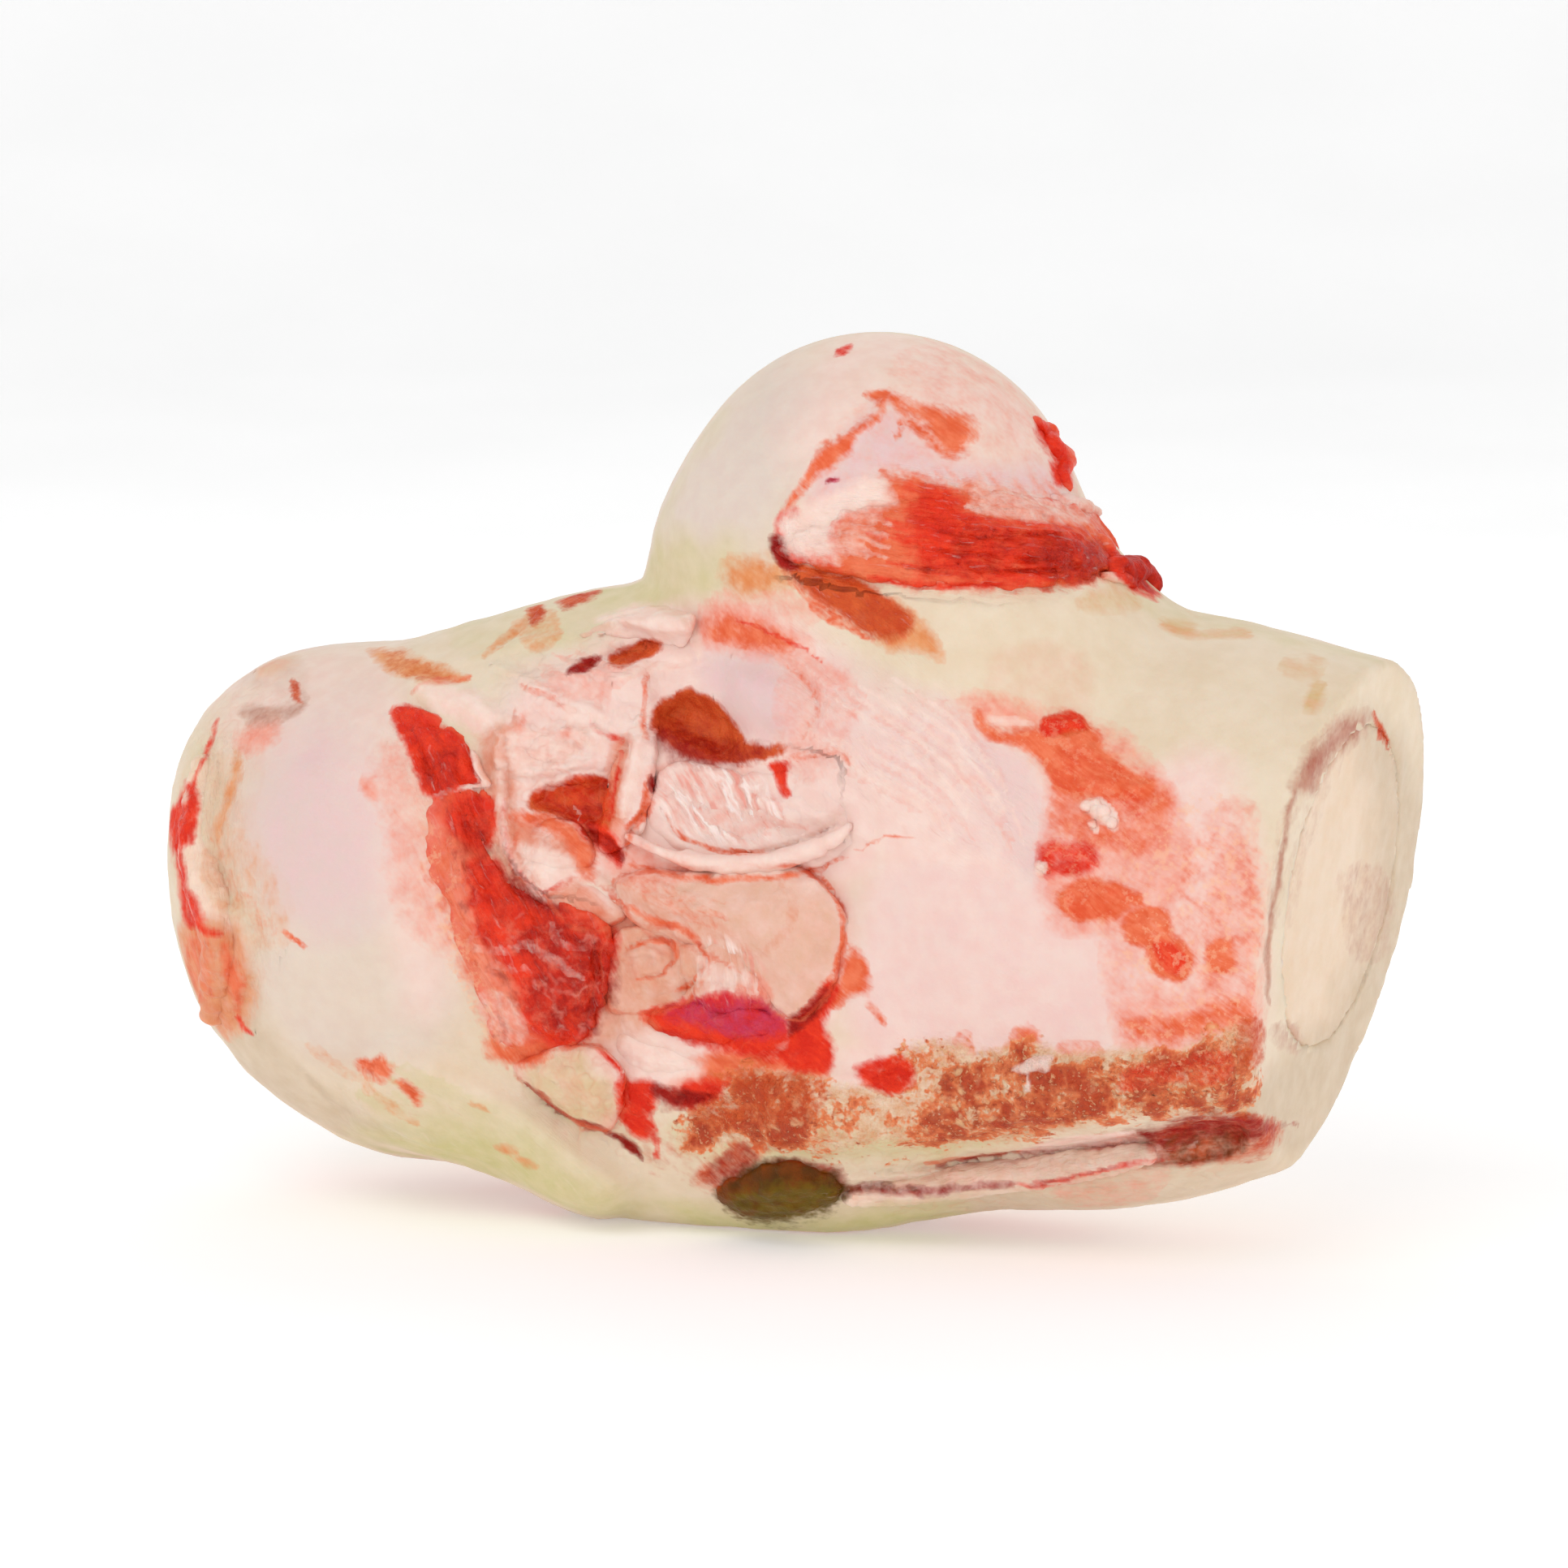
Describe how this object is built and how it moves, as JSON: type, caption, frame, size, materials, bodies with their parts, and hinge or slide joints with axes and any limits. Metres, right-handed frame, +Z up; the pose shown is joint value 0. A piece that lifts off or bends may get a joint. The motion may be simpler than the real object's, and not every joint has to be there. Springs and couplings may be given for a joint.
{
  "type": "raw beef knuckle bone",
  "caption": "Sawn upper end of a beef thigh bone: round joint head, smooth knob, marrow in the saw cut, with raw fat, gristle and red meat left on it.",
  "frame": {"origin": "middle of the bounding box on the surface that the bone rests on", "axes": "+X along the shaft towards the saw cut, +Z up towards the joint head, -Y the near side with the meat and fat"},
  "size_m": [0.1676, 0.069, 0.1189],
  "materials": {
    "bone": "moist cream bone with pinkish cartilage and thin membrane",
    "marrow": "dull, dense, creamy beige marrow with a sawn surface",
    "fat": "moist pinkish cream fat and connective tissue",
    "gristle": "smooth, translucent pale pink gristle",
    "meat": "moist fibrous red meat",
    "meat_dark": "moist dark purple-red meat",
    "gland": "moist olive brown gland tissue",
    "tendon": "moist cream and pink tendon"
  },
  "bodies": {
    "root": {"bone": "bone", "marrow": "marrow", "crescent_fold": "fat", "fat_lobe": "fat", "gristle_nub": "gristle", "strip_upright": "fat", "pad_upper": "fat", "pad_small": "gristle", "ear_fold": "fat", "muscle_slip": "meat_dark", "pad_lower": "fat", "muscle_band": "meat", "pad_wedge": "fat", "neck_flap": "fat", "neck_meat": "meat", "neck_shred": "meat_dark", "gland": "gland", "tendon_strip": "tendon", "end_ligament": "tendon"}
  },
  "joints": []
}
